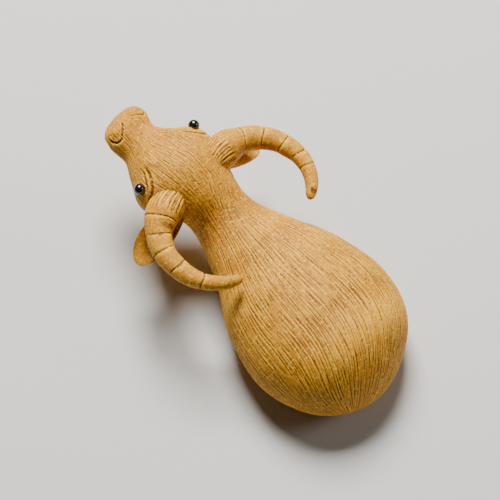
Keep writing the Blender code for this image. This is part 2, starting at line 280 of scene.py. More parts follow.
def all_sections() -> list[Section]:
    """Gives the cross-sections from the nose to the rump."""
    reach = MUZZLE_REACH
    side = MUZZLE_SIDE
    muzzle = MUZZLE_WIDTH / 2
    head = HEAD_WIDTH / 2
    keel = KEEL_HEIGHT
    belly = BELLY_WIDTH / 2
    crown = BELLY_HEIGHT - keel
    half_neck = NECK_DEPTH / 2
    shoulder_height = 0.51 * keel + 0.49 * NECK_HEIGHT
    flank_height = 0.81 * keel + 0.19 * NECK_HEIGHT
    return [
        head_section(1.02 * reach, -0.05, 0.0, 0.0, 0.0, NOSE_TILT, side),
        head_section(0.96 * reach, -0.07, 0.87 * muzzle, 0.19, 0.21, NOSE_TILT, side),
        head_section(0.85 * reach, -0.13, 1.10 * muzzle, 0.255, 0.285, 0.6 * NOSE_TILT, side),
        head_section(0.52 * reach, -0.24, 1.12 * muzzle, 0.305, 0.30, 0.1 * NOSE_TILT, 0.1 * side),
        head_section(0.24 * reach, -0.285, 0.80 * head, 0.405, 0.38, 0.0, -0.4 * side),
        head_section(0.0, -0.29, 0.97 * head, 0.48, 0.465, 0.0, -0.35 * side),
        head_section(-0.28 * reach, -0.31, 0.97 * head, 0.52, 0.475, 0.25 * NECK_PITCH, -0.25 * side),
        head_section(-0.58 * reach, -0.43, 0.82 * head, 0.475, 0.465, 0.76 * NECK_PITCH),
        body_section(
            NECK_REACH, NECK_HEIGHT, -0.073 * belly, NECK_WIDTH / 2, half_neck, half_neck,
            NECK_PITCH,
        ),
        body_section(
            0.68 * NECK_REACH, shoulder_height, -0.078 * belly, 0.57 * belly, 0.68 * crown, 1.3 * keel,
            0.6 * NECK_PITCH,
        ),
        body_section(
            0.36 * NECK_REACH, flank_height, -0.03 * belly, 0.885 * belly, 0.90 * crown, 1.3 * keel,
            0.24 * NECK_PITCH,
        ),
        body_section(-0.02 * RUMP_LENGTH, keel, 0.01 * belly, belly, crown, 1.05 * keel),
        body_section(-0.55 * RUMP_LENGTH, keel, 0.046 * belly, 0.82 * belly, 0.87 * crown, 0.95 * keel),
        body_section(-RUMP_LENGTH, 0.9 * keel, 0.13 * belly, 0.0, 0.0, 0.0),
    ]


@dataclass
class Form:
    """The smooth surface that passes through all the cross-sections."""

    sections: list[Section]
    knots: np.ndarray = field(init=False)

    def __post_init__(self) -> None:
        centers = np.array([s.center for s in self.sections])
        steps = np.linalg.norm(np.diff(centers, axis=0), axis=1)
        self.knots = np.concatenate([[0.0], np.cumsum(steps)])

    @property
    def length(self) -> float:
        """The length of the spine, in metres."""
        return float(self.knots[-1])

    def course(self, values: list[float]) -> Course:
        """Makes a run of values with one for each section."""
        return Course(self.knots, np.array(values))

    def points(self, along: np.ndarray, angle: np.ndarray) -> np.ndarray:
        """Gives surface points.

        Args:
            along: Lengths along the spine, in metres.
            angle: Angles round it, in radians, in an array of the same shape.

        Returns:
            The points, with a last axis of three.
        """
        turn = self.course([s.turn for s in self.sections])(along)
        pitch = self.course([s.pitch for s in self.sections])(along)
        zero = np.zeros_like(turn)
        level = np.stack([np.sin(turn), -np.cos(turn), zero], -1)
        ahead = level * np.cos(pitch)[..., None] + np.stack([zero, zero, np.sin(pitch)], -1)
        left = np.stack([np.cos(turn), np.sin(turn), zero], -1)
        up = np.cross(ahead, left)
        squares = {}
        for name in ("half_width", "rise", "drop"):
            run = self.course([getattr(s, name) ** 2 for s in self.sections])
            squares[name] = np.sqrt(np.maximum(run(along), 0.0))
        height = np.where(np.sin(angle) > 0, squares["rise"], squares["drop"])
        center = np.stack([self.course([s.center[k] for s in self.sections])(along) for k in range(3)], -1)
        aside = (squares["half_width"] * np.cos(angle))[..., None]
        above = (height * np.sin(angle))[..., None]
        return center + left * aside + up * above


def unit(vector: np.ndarray) -> np.ndarray:
    """Gives the vector of length one in the same direction."""
    return vector / np.linalg.norm(vector)


def ease(low: float, high: float, value: np.ndarray) -> np.ndarray:
    """Rises smoothly from 0 at low to 1 at high."""
    share = np.clip((value - low) / (high - low), 0.0, 1.0)
    return share * share * (3.0 - 2.0 * share)


def curve_through(points: list[np.ndarray], count: int) -> np.ndarray:
    """Gives evenly numbered points on a smooth curve through the given ones."""
    places = np.arange(len(points), dtype=float)
    fine = np.linspace(0.0, len(points) - 1.0, count)
    values = np.array(points)
    return np.stack([Course(places, values[:, axis])(fine) for axis in range(3)], -1)


def nearest(spots: np.ndarray, curve: np.ndarray) -> tuple[np.ndarray, np.ndarray]:
    """Measures how far spots lie from a curve.

    Args:
        spots: Points with a last axis of three.
        curve: Points on the curve, in order.

    Returns:
        The distance of each spot, and the share of the curve at which it is nearest.
    """
    best = np.full(spots.shape[:-1], 1e9)
    where = np.zeros(spots.shape[:-1])
    for number, point in enumerate(curve):
        away = np.linalg.norm(spots - point, axis=-1)
        closer = away < best
        best = np.where(closer, away, best)
        where = np.where(closer, number / (len(curve) - 1), where)
    return best, where


@dataclass
class Skin:
    """The fine skin of the muzzle, head, neck and belly, held as rows from nose to rump."""

    form: Form
    seed: int = 7
    places: np.ndarray = field(init=False)
    lay: np.ndarray = field(init=False)

    def __post_init__(self) -> None:
        grid_along, grid_angle = np.meshgrid(self.row_places(), self.column_angles(), indexing="ij")
        swing = self.form.length / (2 * math.pi)
        wave = 0.006 * np.sin(grid_along / swing * 2.3 + 3 * grid_angle)
        wave += 0.003 * np.sin(grid_along / swing * 5.1 - 5 * grid_angle + 1.0)
        twist = COMB_TWIST * ease(14 * MM, 50 * MM, grid_along)
        self.places = self.form.points(grid_along, grid_angle - twist + wave)
        around = COMB_RADIUS * np.cos(grid_angle), COMB_RADIUS * np.sin(grid_angle)
        self.lay = np.stack([*around, grid_along / COMB_STRETCH], -1)
        self.slide_to_whorl()

    def row_places(self) -> np.ndarray:
        """Gives the rows' lengths along the spine, close together on the head and at both ends."""
        along = np.linspace(0.0, self.form.length, 8001)[1:-1]
        rest = self.form.length - along
        crowd = 0.55 + 2.9 * (1.0 - ease(22 * MM, 38 * MM, along))
        crowd = crowd + 6.5 / np.sqrt(along / MM) * np.exp(-along / (1.5 * MM))
        crowd = crowd + 2.6 / np.sqrt(rest / MM) * np.exp(-rest / (12 * MM))
        total = np.cumsum(crowd)
        inner = np.interp(np.arange(1, SKIN_ROWS) / SKIN_ROWS * total[-1], total, along)
        return np.concatenate([[0.0], inner, [self.form.length]])

    def column_angles(self) -> np.ndarray:
        """Gives the columns' angles, far apart on the hidden underside."""
        turns = np.linspace(-math.pi, math.pi, 20001)
        crowd = 0.34 + 0.66 * ease(-0.85, -0.45, np.sin(turns))
        total = np.concatenate([[0.0], np.cumsum(crowd[:-1])])
        return np.interp(np.arange(SKIN_COLUMNS) / SKIN_COLUMNS * total[-1], total, turns)

    def slide_to_whorl(self) -> None:
        """Slides the rows and columns of the belly so that the columns meet low on its left."""
        center = np.array([BELLY_SIDE, BELLY_BACK, KEEL_HEIGHT])
        tree = self.tree(self.places)
        old = unit(np.array(RUMP_DIRECTION))
        new = unit(np.array(WHORL_DIRECTION))
        axis = Vector(np.cross(old, new)).normalized()
        most = math.acos(float(old @ new))
        for row in range(len(self.places)):
            offsets = self.places[row] - center
            lengths = np.linalg.norm(offsets, axis=-1)
            facing = (offsets @ old) / lengths
            amounts = ease(-0.35, 1.0, facing) * most
            if self.places[row, 0, 1] < BELLY_BACK - 0.4 * NECK_REACH:
                continue
            for column in np.nonzero(amounts > 1e-4)[0]:
                toward = Matrix.Rotation(amounts[column], 3, axis) @ Vector(offsets[column])
                hit = tree.ray_cast(Vector(center), toward.normalized())[0]
                if hit is not None:
                    self.places[row, column] = hit

    def tree(self, places: np.ndarray) -> BVHTree:
        """Makes a search tree of the skin."""
        rows, columns = places.shape[:2]
        index = np.arange(rows * columns).reshape(rows, columns)
        beside = np.roll(index, -1, axis=1)
        quads = np.stack([index[:-1], beside[:-1], beside[1:], index[1:]], -1).reshape(-1, 4)
        return BVHTree.FromPolygons(places.reshape(-1, 3).tolist(), quads.tolist())

    def normals(self) -> np.ndarray:
        """Gives the outward directions of the skin."""
        across = np.roll(self.places, -1, axis=1) - np.roll(self.places, 1, axis=1)
        down = np.gradient(self.places, axis=0)
        normal = np.cross(down, across)
        size = np.linalg.norm(normal, axis=-1, keepdims=True)
        normal = normal / np.maximum(size, 1e-12)
        normal[0] = unit(normal[1].mean(0))
        normal[-1] = unit(normal[-2].mean(0))
        middle = self.places.mean(axis=1, keepdims=True)
        outward = np.sum((self.places - middle) * normal)
        return normal if outward > 0 else -normal

    def swell(self, center: np.ndarray, radius: float, height: float) -> None:
        """Raises a soft mound round a point, or a hollow where the height is negative."""
        away = np.linalg.norm(self.places - center, axis=-1) / radius
        self.places += self.normals() * (height * np.exp(-away * away))[..., None]

    def fold(self, curve: np.ndarray, width: float, height: float, fade: float = 0.25) -> None:
        """Raises a ridge along a curve, or cuts a groove where the height is negative.

        Args:
            curve: Points along the line, in order.
            width: How far from the line the ridge falls off, in metres.
            height: Its height, in metres.
            fade: The share of the line over which each end runs out.
        """
        close = np.linalg.norm(self.places - curve.mean(0), axis=-1) < FOLD_REACH
        away, share = nearest(self.places[close], curve)
        ends = ease(0.0, fade, share) * ease(0.0, fade, 1.0 - share)
        lift = np.zeros(self.places.shape[:2])
        lift[close] = height * ends * np.exp(-((away / width) ** 2))
        self.places += self.normals() * lift[..., None]

    def on_skin(self, aside: float, back: float, up: float, side: Side = Side.LEFT) -> np.ndarray:
        """Gives the skin point nearest to a point of the head, given in millimetres for one side."""
        spot = head_point(side.value * aside * MM, back * MM, up * MM)
        flat = self.places.reshape(-1, 3)
        return flat[np.argmin(np.linalg.norm(flat - spot, axis=-1))]

    def seat(self, center: np.ndarray, radius: float) -> None:
        """Presses a round seat for a bead into the skin."""
        outward = unit(center - head_point(0.0, -0.5 * MM, -0.06 * HEAD_DEPTH))
        offsets = self.places - center
        height = offsets @ outward
        flat = offsets - height[..., None] * outward
        lateral = np.linalg.norm(flat, axis=-1)
        floor = -np.sqrt(np.maximum(radius**2 - lateral**2, 0.0))
        press = (lateral < radius) & (height > floor) & (height < 2 * radius)
        self.places[press] += (floor - height)[press][:, None] * outward

    def comb(self) -> None:
        """Cuts the combed strokes into the skin, each following the lay of the columns."""
        rng = np.random.default_rng(self.seed)
        rows, columns = self.places.shape[:2]
        wide = np.linalg.norm(np.roll(self.places, -1, axis=1) - self.places, axis=-1)
        wide = np.maximum(0.5 * (wide + np.roll(wide, 1, axis=1)), 0.01 * MM)
        tall = np.linalg.norm(np.diff(self.places, axis=0), axis=-1)
        run = np.concatenate([np.zeros((1, columns)), np.cumsum(tall, axis=0)])
        chance = wide[:-1] * tall * (self.places[:-1, :, 2] > 0.8 * MM) + 1e-18
        spots = rng.choice(chance.size, size=STROKE_TRIES, p=chance.ravel() / chance.sum())
        taken = np.zeros((rows, columns), bool)
        depth = np.zeros((rows, columns))
        for spot in spots:
            start, column = divmod(int(spot), columns)
            if taken[start, column]:
                continue
            on_head = self.places[start, column, 1] < BELLY_BACK - 0.9 * NECK_REACH
            length = rng.uniform(*(HEAD_STROKE_LENGTHS if on_head else BELLY_STROKE_LENGTHS)) * MM
            stop = int(np.searchsorted(run[:, column], run[start, column] + length))
            lines = np.arange(max(start, 3), min(stop, rows - 2))
            if len(lines) < LEAST_ROWS or taken[lines, column].mean() > MOST_TAKEN:
                continue
            here = wide[lines, column]
            pitch = STROKE_PITCH * rng.uniform(*STROKE_PITCH_SHARES)
            keep = here * 0.5 * columns > pitch
            lines, here = lines[keep], here[keep]
            if len(lines) < LEAST_ROWS:
                continue
            spread = int(min(math.ceil(1.2 * pitch / here.min()), MOST_SPREAD))
            offsets = np.arange(-spread, spread + 1)
            share = np.linspace(0.0, 1.0, len(lines))
            drift = rng.normal(0.0, 0.35) * MM * (share - 0.5) + rng.uniform(-0.5, 0.5) * here
            drift = drift + 0.05 * MM * np.sin(share * rng.uniform(3.0, 9.0) + rng.uniform(0.0, 6.3))
            aside = offsets[None, :] * here[:, None] - drift[:, None]
            strong = rng.uniform(*STROKE_STRENGTHS) * (1.45 if rng.random() < 0.12 else 1.0)
            bite = strong * (HEAD_STROKE_DEPTH if on_head else BELLY_STROKE_DEPTH)
            ends = np.sin(math.pi * np.clip(share, 0.01, 0.99)) ** 0.45
            width = STROKE_WIDTH * rng.uniform(*STROKE_WIDTH_SHARES)
            block = np.ix_(lines, (column + offsets) % columns)
            taken[block] |= np.abs(aside) < 0.5 * pitch
            groove = (bite * ends)[:, None] * np.exp(-((aside / width) ** 2))
            depth[block] = np.maximum(depth[block], groove)
        depth *= ease(1.5 * MM, 4.0 * MM, run)
        self.places -= self.normals() * depth[..., None]

    def soften(self) -> None:
        """Adds the slight unevenness of hand-smoothed clay, always inwards."""
        spots = self.places / MM
        dent = np.sin(spots[..., 0] * 0.9 + 1.3) * np.sin(spots[..., 1] * 0.7 + 0.4)
        dent = dent + 0.6 * np.sin(spots[..., 0] * 1.7 + spots[..., 2] * 1.3) * np.sin(spots[..., 1] * 1.5)
        self.places -= self.normals() * (0.035 * MM * (1.0 + dent * 0.6))[..., None]


def ring_axes(ahead: np.ndarray) -> tuple[np.ndarray, np.ndarray]:
    """Gives two directions square to a path and to each other, the first of them level."""
    across = unit(np.cross(ahead, [0.0, 0.0, 1.0]))
    return across, np.cross(across, ahead)


@dataclass(frozen=True)
class HornArc:
    """How one horn bends, and how strongly each ring is cut at its share of the length."""

    side: Side
    middle: float
    end: float
    root_flare: float
    rings: dict[float, float]
    blunt: bool


LEFT_RINGS = {0.233: 0.8, 0.336: 0.5, 0.455: 0.85, 0.587: 0.9, 0.77: 1.0}
RIGHT_RINGS = {0.314: 0.4, 0.442: 0.9, 0.583: 1.0, 0.698: 0.8, 0.797: 0.8}
LEFT_HORN = HornArc(Side.LEFT, 10.2 * MM, math.radians(69.0), 0.22, LEFT_RINGS, False)
RIGHT_HORN = HornArc(Side.RIGHT, 8.7 * MM, math.radians(76.0), -0.1, RIGHT_RINGS, True)


@dataclass
class Horn:
    """A tapered horn with rings and, at its root, a combed tuft of hair."""

    arc: HornArc

    def path(self, share: float) -> np.ndarray:
        """Gives the middle of the horn at a share of its length."""
        arc = self.arc
        angle = HORN_START + (arc.end - HORN_START) * share
        flare = HORN_FLARE * max(0.0, share - 0.6) + arc.root_flare * max(0.0, 0.55 - share)
        bend = HORN_BEND * (1.0 + flare)
        aside = arc.middle + bend * math.cos(angle)
        back = HORN_ROOT_BACK + bend * math.sin(angle)
        up = -HORN_DROP * (1.0 - 0.3 * (1.0 - share) ** 3)
        return head_point(arc.side.value * aside, back, up)

    def radii(self, shares: np.ndarray) -> np.ndarray:
        """Gives the half thickness at shares of the horn's length."""
        root = HORN_ROOT_THICKNESS / 2
        half = HORN_THICKNESS / 2
        tip = HORN_TIP_THICKNESS / 2
        places = np.array([0.0, 0.07, 0.14, 0.21, 0.30, 0.45, 0.60, 0.85, 0.97, 1.0])
        thick = [0.55 * root, 0.87 * root, root, 0.97 * root]
        thin = [1.06 * half, 0.91 * half, 0.8 * half, 0.56 * half, tip, 0.8 * tip]
        return Course(places, np.array(thick + thin))(shares)

    def row_shares(self, length: float) -> np.ndarray:
        """Gives the rows' shares of the length, close together at the rings and the tip."""
        shares = np.linspace(0.0, 1.0, 6001)
        crowd = 1.0 + 0.8 * (shares < 0.26) + 5.0 * (shares > 0.975)
        for ring in self.arc.rings:
            crowd = crowd + 3.2 * np.exp(-(((shares - ring) * length / (0.45 * MM)) ** 2))
        total = np.concatenate([[0.0], np.cumsum(crowd[:-1])])
        return np.interp(np.arange(HORN_ROWS + 1) / HORN_ROWS * total[-1], total, shares)

    def grid(self) -> tuple[np.ndarray, np.ndarray]:
        """Works out the horn's surface.

        Returns:
            The points in rows from root to tip, and the lay of the clay's grain at each of them.
        """
        arc = self.arc
        value = arc.side.value
        rng = np.random.default_rng(22 + value)
        length = HORN_BEND * (arc.end - HORN_START)
        shares = self.row_shares(length)
        radii = self.radii(shares)
        cap = np.sqrt(np.clip(1.0 - np.clip((shares - 0.965) / 0.035, 0.0, 1.0) ** 2, 0.0, 1.0))
        cap[0] = 0.0
        angles = 2 * math.pi * np.arange(HORN_COLUMNS) / HORN_COLUMNS
        rings = [(*ring, rng.uniform(-0.35, 0.35), rng.uniform(-0.4, 0.4)) for ring in arc.rings.items()]
        strokes = []
        for _ in range(TUFT_STROKES):
            strokes.append((rng.uniform(-0.012, 0.012), rng.uniform(0.6, 1.15), rng.uniform(-4, 4)))
        points = np.zeros((HORN_ROWS + 1, HORN_COLUMNS, 3))
        lay = np.zeros_like(points)
        for row, share in enumerate(shares):
            middle = self.path(share)
            ahead = self.path(min(share + 0.01, 1.01)) - self.path(share - 0.01)
            across, over = ring_axes(unit(ahead))
            radius = np.full(HORN_COLUMNS, radii[row])
            uneven = 1.0 + 0.012 * np.sin(share * 23.0 + 2 * angles)
            radius *= uneven + 0.008 * np.sin(share * 41.0 - 3 * angles)
            for ring, strong, lean, phase in rings:
                sway = (lean * np.sin(angles) + 0.25 * np.cos(2 * angles + phase)) * MM
                shift = (share - ring) * length + sway
                seen = 0.12 + 0.88 * ease(0.75 - strong, 1.25 - strong, np.sin(angles + phase))
                radius -= RING_DEPTH * seen * (0.6 + 0.4 * strong) * np.exp(-((shift / RING_WIDTH) ** 2))
                radius -= 0.05 * MM * np.exp(-((shift / (0.8 * MM)) ** 2))
            if share < TUFT_END:
                for number, (shift, strong, extra) in enumerate(strokes):
                    lean = math.radians(TUFT_FRONT + TUFT_SWEEP * number / (TUFT_STROKES - 1) + extra)
                    turn = math.pi / 2 + value * (lean + 0.9 * (share - 0.13))
                    away = np.angle(np.exp(1j * (angles - turn))) * radii[row]
                    place = np.array(share - shift)
                    ends = ease(0.02, 0.07, place) * (1.0 - ease(0.14, 0.20, place))
                    radius -= TUFT_DEPTH * strong * ends * np.exp(-((away / TUFT_WIDTH) ** 2))
            radius = radius * cap[row]
            outward = across * np.cos(angles)[:, None] + over * np.sin(angles)[:, None]
            points[row] = middle + radius[:, None] * outward
            around = 5.0 * MM * np.cos(angles), 5.0 * MM * np.sin(angles)
            lay[row] = np.stack([*around, np.full(HORN_COLUMNS, 0.1 + share * length / 4)], -1)
        if arc.blunt:
            points = self.cut_tip(points)
        return points, lay

    def cut_tip(self, points: np.ndarray) -> np.ndarray:
        """Presses a small flat on the end of the horn."""
        end = self.path(0.985)
        slope = unit(np.array(TIP_SLOPE))
        above = (points - end) @ slope - TIP_FLAT
        near = np.linalg.norm(points - end, axis=-1) < TIP_REACH
        return np.where(((above > 0) & near)[..., None], points - above[..., None] * slope, points)


def moved_sphere(grid: np.ndarray) -> bmesh.types.BMesh:
    """Moves the points of a sphere onto a grid of rows and columns."""
    rows, columns = grid.shape[0] - 1, grid.shape[1]
    shape = bmesh.new()
    bmesh.ops.create_uvsphere(shape, u_segments=columns, v_segments=rows, radius=1.0)
    for vertex in shape.verts:
        row = round(math.acos(max(-1.0, min(1.0, vertex.co.z))) / math.pi * rows)
        column = round(math.atan2(vertex.co.y, vertex.co.x) / (2 * math.pi) * columns) % columns
        vertex.co = grid[row, column]
    return shape


@dataclass(frozen=True)
class Ear:
    """A drooping leaf-shaped ear, cupped along its length and more or less full on top."""

    side: Side
    length: float
    sweep: float
    droop: float
    cup_depth: float
    fullness: float

    def grid(self) -> tuple[np.ndarray, np.ndarray]:
        """Works out the ear's surface.

        Returns:
            The points in rows from tip to root, and the lay of the clay's grain at each of them.
        """
        falls = math.pi * np.arange(EAR_ROWS + 1) / EAR_ROWS
        turns = 2 * math.pi * np.arange(EAR_COLUMNS) / EAR_COLUMNS
        fall, turn = np.meshgrid(falls, turns, indexing="ij")
        across, over, along = np.sin(fall) * np.cos(turn), np.sin(fall) * np.sin(turn), np.cos(fall)
        share = (along + 1) / 2
        leaf = EAR_WIDTH / 2 * (1.0 + 0.15 * along)
        aside = EAR_ROOT_SIDE + self.length * share
        back = EAR_ROOT_BACK - self.sweep * share + across * leaf
        curl = EAR_CURL * across * across * (1.0 - 0.3 * over)
        cup = self.cup_depth * np.sqrt(np.maximum(over, 0.0)) * (1.0 - across**2) * np.sin(math.pi * share)
        lift = over * EAR_THICKNESS * np.where(over > 0, self.fullness, 0.5)
        up = curl + lift - cup - EAR_ROOT_DROP - self.droop * share - 0.2 * EAR_WIDTH * across
        points = np.zeros((*fall.shape, 3))
        for row, column in np.ndindex(fall.shape):
            spot = aside[row, column], back[row, column], up[row, column]
            points[row, column] = head_point(self.side.value * spot[0], spot[1], spot[2])
        lay = np.stack([across * leaf, over * MM, 0.2 + share * self.length / 4], -1)
        return points, lay


LEFT_EAR = Ear(Side.LEFT, 17.6 * MM, 1.2 * MM, 4.6 * MM, 1.0 * MM, 0.3)
RIGHT_EAR = Ear(Side.RIGHT, 14.6 * MM, -1.6 * MM, 7.6 * MM, 0.1 * MM, 0.85)


def add_mesh(name: str, shape: bmesh.types.BMesh) -> bpy.types.Object:
    """Turns a shape into an object with smooth faces."""
    bmesh.ops.triangulate(shape, faces=shape.faces)
    bmesh.ops.recalc_face_normals(shape, faces=shape.faces)
    mesh = bpy.data.meshes.new(name)
    shape.to_mesh(mesh)
    shape.free()
    mesh.shade_smooth()
    made = bpy.data.objects.new(name, mesh)
    bpy.context.scene.collection.objects.link(made)
    return made


def unite(target: bpy.types.Object, tool: bpy.types.Object) -> None:
    """Joins the tool to the target as one solid and removes it."""
    change = target.modifiers.new("Join", "BOOLEAN")
    change.operation = "UNION"
    change.solver = "EXACT"
    change.object = tool
    bpy.context.view_layer.update()
    graph = bpy.context.evaluated_depsgraph_get()
    result = bpy.data.meshes.new_from_object(target.evaluated_get(graph))
    target.modifiers.clear()
    target.data = result
    bpy.data.objects.remove(tool, do_unlink=True)


def mesh_arrays(mesh: bpy.types.Mesh) -> tuple[np.ndarray, np.ndarray, np.ndarray]:
    """Gives a mesh's points, normals and edges as arrays."""
    count = len(mesh.vertices)
    points = np.zeros(count * 3)
    normals = np.zeros(count * 3)
    edges = np.zeros(len(mesh.edges) * 2, dtype=int)
    mesh.vertices.foreach_get("co", points)
    mesh.vertices.foreach_get("normal", normals)
    mesh.edges.foreach_get("vertices", edges)
    return points.reshape(-1, 3), normals.reshape(-1, 3), edges.reshape(-1, 2)


def relaxed(
    points: np.ndarray, edges: np.ndarray, rounds: int, chosen: np.ndarray | None = None
) -> np.ndarray:
    """Evens out points by their neighbours, the nearer ones counting for more.

    Args:
        points: The points of a mesh.
        edges: Its edges, as pairs of point numbers.
        rounds: How often the points move.
        chosen: Which points may move, or none for all of them.

    Returns:
        The moved points.
    """
    first, second = edges[:, 0], edges[:, 1]
    weight = 1.0 / np.maximum(np.linalg.norm(points[first] - points[second], axis=1), 1e-7)
    total = np.bincount(first, weight, len(points)) + np.bincount(second, weight, len(points))
    moved = points.copy()
    for _ in range(rounds):
        mean = np.zeros_like(moved)
        for axis in range(3):
            mean[:, axis] = np.bincount(first, weight * moved[second, axis], len(points))
            mean[:, axis] += np.bincount(second, weight * moved[first, axis], len(points))
        mean /= np.maximum(total, 1e-12)[:, None]
        if chosen is None:
            moved = 0.4 * moved + 0.6 * mean
        else:
            moved = np.where(chosen[:, None], 0.4 * moved + 0.6 * mean, moved)
    return moved


def averaged(values: np.ndarray, edges: np.ndarray, rounds: int) -> np.ndarray:
    """Evens out one value per point over its neighbours."""
    first, second = edges[:, 0], edges[:, 1]
    count = np.bincount(first, minlength=len(values)) + np.bincount(second, minlength=len(values))
    moved = values.copy()
    for _ in range(rounds):
        mean = np.bincount(first, moved[second], len(values))
        mean = mean + np.bincount(second, moved[first], len(values))
        moved = 0.3 * moved + 0.7 * mean / np.maximum(count, 1)
    return moved


@dataclass
class TeaPet:
    """The whole ornament: one piece of clay and two beads."""

    skin: Skin = field(default_factory=lambda: Skin(Form(all_sections())))

    def bead_center(self, name: str) -> np.ndarray:
        """Gives the middle of a bead from its solid."""
        low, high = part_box(name)
        return np.array((low + high) / 2)

    def carve_face(self, side: Side) -> None:
        """Models the brow, the folds round an eye and the nostril."""
        skin = self.skin
        value = side.value
        skin.swell(head_point(value * 9.58 * MM, 0.0, -0.59 * MM), 3.6 * MM, 0.97 * MM)
        skin.swell(head_point(value * 5.3 * MM, -2.6 * MM, 1.6 * MM), 2.4 * MM, 1.15 * MM)
        skin.swell(head_point(value * 4.6 * MM, -8.8 * MM, -3.0 * MM), 3.2 * MM, -0.55 * MM)
        skin.swell(head_point(value * 10.94 * MM, 2.1 * MM, -6.05 * MM), 4.5 * MM, 1.6 * MM)
        line = curve_through([skin.on_skin(*spot, side) for spot in EYE_CREASE], 70)
        skin.fold(line, 0.42 * MM, -0.62 * MM, 0.3)
        line = curve_through([skin.on_skin(*spot, side) for spot in LID_CREASE], 50)
        skin.fold(line, 0.30 * MM, -0.34 * MM, 0.3)
        shift = MUZZLE_SIDE / MM * value
        wing = [skin.on_skin(aside + shift, back, up, side) for aside, back, up in NOSTRIL_WING]
        line = curve_through(wing, 80)
        depth = 0.62 if side is Side.LEFT else 0.22
        skin.fold(line, 0.27 * MM, -depth * MM, 0.12)
        lobe = skin.on_skin(3.9 + shift, -14.6, 0.6, side)
        skin.swell(lobe, 1.2 * MM, 0.34 * MM)
        dimple = skin.on_skin(5.2 + shift, -15.6, 0.1, side)
        skin.swell(dimple, 0.42 * MM, -0.30 * MM)

    def carve_mouth(self) -> None:
        """Draws the shallow mouth line under the nose pad."""
        skin = self.skin
        shift = MUZZLE_SIDE / MM
        course = list(HALF_MOUTH)
        course += [(-aside, back, up) for aside, back, up in reversed(HALF_MOUTH[:-1])]
        line = curve_through([skin.on_skin(aside + shift, back, up) for aside, back, up in course], 90)
        skin.fold(line, 0.34 * MM, -0.50 * MM, 0.15)

    def clay(self) -> bpy.types.Object:
        """Makes the one piece of clay."""
        skin = self.skin
        for side in Side:
            self.carve_face(side)
        self.carve_mouth()
        skin.soften()
        skin.comb()
        for name in ("eye_left", "eye_right"):
            skin.seat(self.bead_center(name), SEAT_RADIUS)
        skin.places[..., 2] = np.maximum(skin.places[..., 2], 0.0)
        body = add_mesh("combed_clay", moved_sphere(skin.places))
        body.data.materials.append(bpy.data.materials.new("seam_mark"))
        grains = [(skin.places, skin.lay)]
        mark = bpy.data.materials.new("joined_mark")
        for part in (Horn(LEFT_HORN), Horn(RIGHT_HORN), LEFT_EAR, RIGHT_EAR):
            points, lay = part.grid()
            grains.append((points, lay))
            tool = add_mesh("tool", moved_sphere(points))
            tool.data.materials.append(mark)
            unite(body, tool)
        self.finish_surface(body, grains)
        return body

    def finish_surface(self, body: bpy.types.Object, grains: list[tuple[np.ndarray, np.ndarray]]) -> None:
        """Softens the seams, keeps inside the solid's box, and stores the hollows, which set the painted
        shade and the painted highlight, and the grain's lay.
        """
        mesh = body.data
        points, _, edges = mesh_arrays(mesh)
        points = relaxed(points, edges, SEAM_ROUNDS, self.seam_points(mesh))
        low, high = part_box("clay_body")
        points = np.clip(points, np.array(low), np.array(high))
        mesh.vertices.foreach_set("co", points.ravel())
        mesh.update()
        points, normals, edges = mesh_arrays(mesh)
        hollow = np.zeros(len(points))
        for rounds, depth in HOLLOW_DEPTHS:
            offset = np.sum((relaxed(points, edges, rounds) - points) * normals, axis=1)
            offset = offset - averaged(offset, edges, WIDE_ROUNDS)
            hollow += 0.5 * np.clip(offset / depth, -1.0, 1.0)
        # The hollows set painted shade in grooves and creases and a painted highlight on ridges
        attribute = mesh.attributes.new("hollow", "FLOAT", "POINT")
        attribute.data.foreach_set("value", hollow.astype(np.float32))
        sources = np.concatenate([spots.reshape(-1, 3) for spots, _ in grains])
        lays = np.concatenate([lay.reshape(-1, 3) for _, lay in grains])
        tree = KDTree(len(sources))
        for number, spot in enumerate(sources.tolist()):
            tree.insert(spot, number)
        tree.balance()
        nearby = [tree.find(spot)[1] for spot in points.tolist()]
        attribute = mesh.attributes.new("grain", "FLOAT_VECTOR", "POINT")
        attribute.data.foreach_set("vector", lays[nearby].astype(np.float32).ravel())
        mesh.materials.clear()
        mesh.polygons.foreach_set("material_index", np.zeros(len(mesh.polygons), dtype=np.int32))
        mesh.shade_smooth()

    def seam_points(self, mesh: bpy.types.Mesh) -> np.ndarray:
        """Finds the points beside the lines where horns and ears meet the head."""
        shape = bmesh.new()
        shape.from_mesh(mesh)
        chosen = set()
        for edge in shape.edges:
            if len({face.material_index for face in edge.link_faces}) > 1:
                chosen.update(edge.verts)
        for _ in range(2):
            chosen |= {edge.other_vert(vert) for vert in chosen for edge in vert.link_edges}
        flags = np.zeros(len(shape.verts), bool)
        for vert in chosen:
            flags[vert.index] = True
        shape.free()
        return flags

    def bead(self, name: str) -> bpy.types.Object:
        """Makes one glossy bead in the place of its solid."""
        low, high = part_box(name)
        shape = bmesh.new()
        place = Matrix.Translation((low + high) / 2)
        radius = (high.z - low.z) / 2
        bmesh.ops.create_uvsphere(
            shape, u_segments=BEAD_COLUMNS, v_segments=BEAD_ROWS, radius=radius, matrix=place
        )
        return add_mesh("bead_" + name.removeprefix("eye_"), shape)


